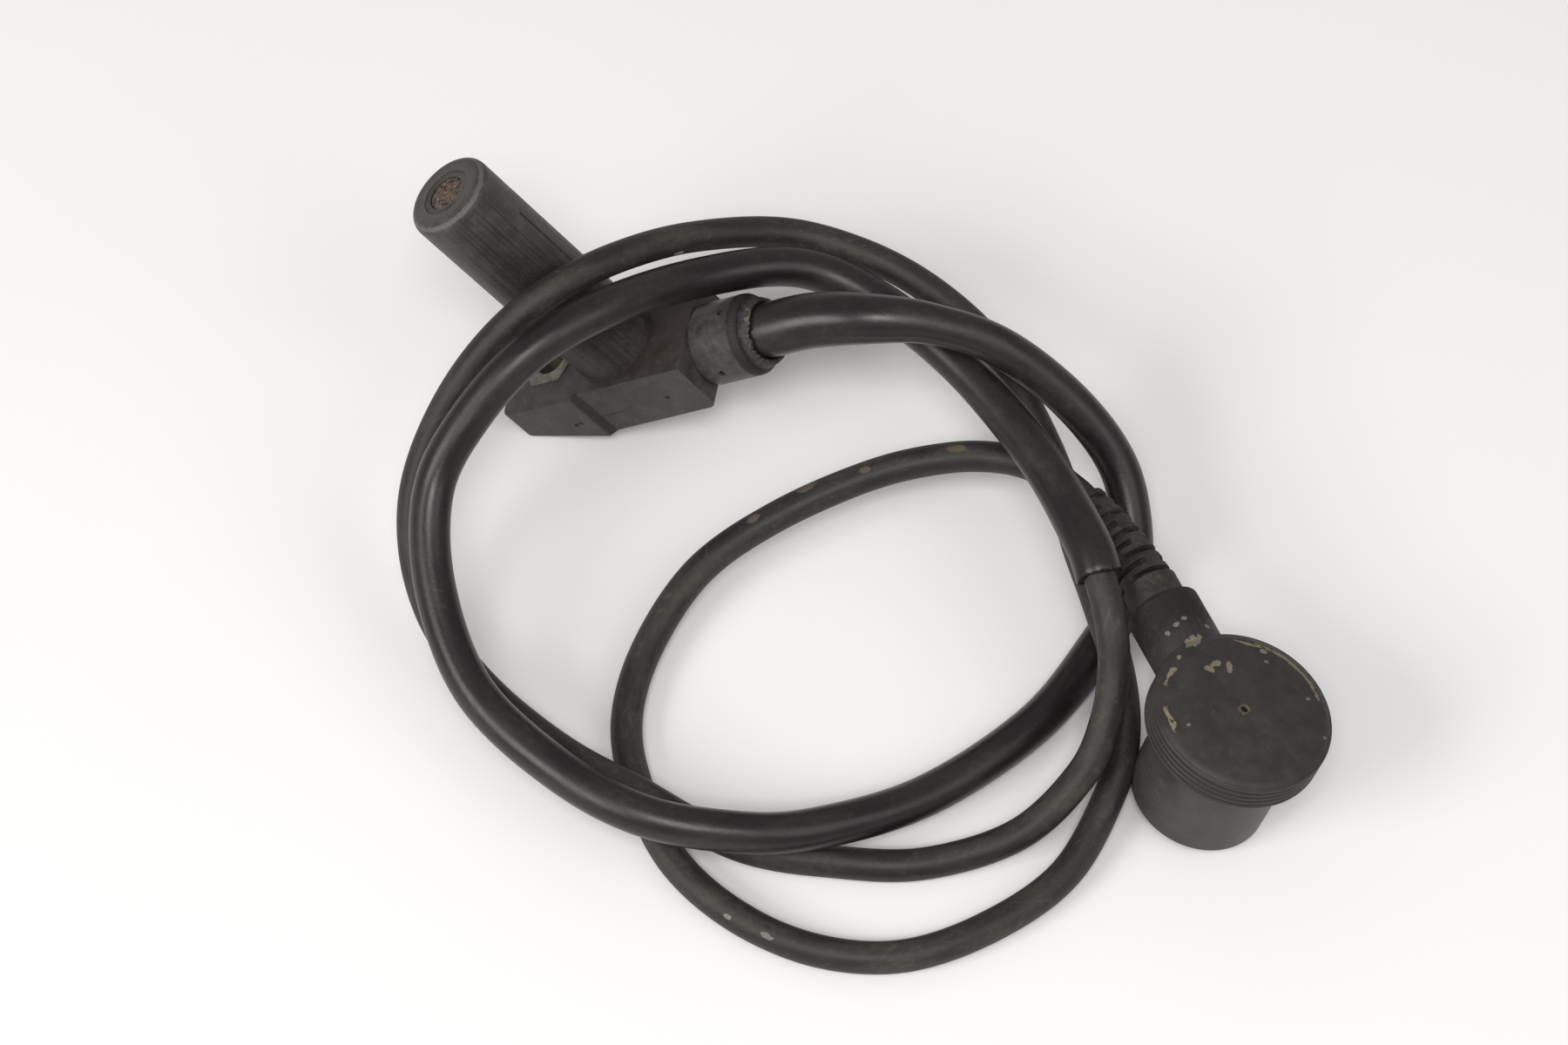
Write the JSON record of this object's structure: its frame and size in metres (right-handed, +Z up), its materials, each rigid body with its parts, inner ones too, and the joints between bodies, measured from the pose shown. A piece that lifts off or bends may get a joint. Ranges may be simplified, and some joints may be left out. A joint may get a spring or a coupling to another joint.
{
  "type": "crankshaft position sensor",
  "caption": "Inductive speed sensor: round probe on a bolt-on block with a hexagonal bush, a cable gland, a sleeved cable laid in loose loops and a round plug with a ribbed cap.",
  "frame": {"origin": "on the surface that the part lies on, below the middle of the sensor's own box, cord and plug left out", "axes": "+Z up, +X from the probe's tip towards the cable gland, +Y across the sensor, away from the cable's loops"},
  "size_m": [0.1869, 0.1447, 0.0685],
  "materials": {
    "housing": "satin, worn at the edges",
    "iron": "rusted",
    "magnet": "ground",
    "bobbin": "matte",
    "copper": "enamelled wire",
    "brass": "stamped",
    "lead": "satin",
    "bush_steel": "dull",
    "gland": "satin",
    "old_seal": "torn and dusty",
    "sleeve": "satin",
    "cable": "dusty",
    "boot": "dusty",
    "cap": "satin with dried residue",
    "shroud": "satin",
    "insert": "matte",
    "contact": "plated",
    "seal": "satin"
  },
  "bodies": {
    "root": {"sensor_housing": "housing", "pole_piece": "iron", "bar_magnet": "magnet", "coil_bobbin": "bobbin", "coil_winding": "copper", "terminal_strips": "brass", "sensor_leads": "lead", "mount_bush": "bush_steel", "cable_gland": "gland", "gland_seal": "old_seal", "cable_sleeve": "sleeve", "cable": "cable", "bend_relief": "boot", "connector_cap": "cap", "connector_shroud": "shroud", "contact_insert": "insert", "signal_contacts": "contact", "shield_contact": "contact", "face_seal": "seal", "crimp_ferrule": "contact", "connector_leads": "lead"}
  },
  "joints": []
}
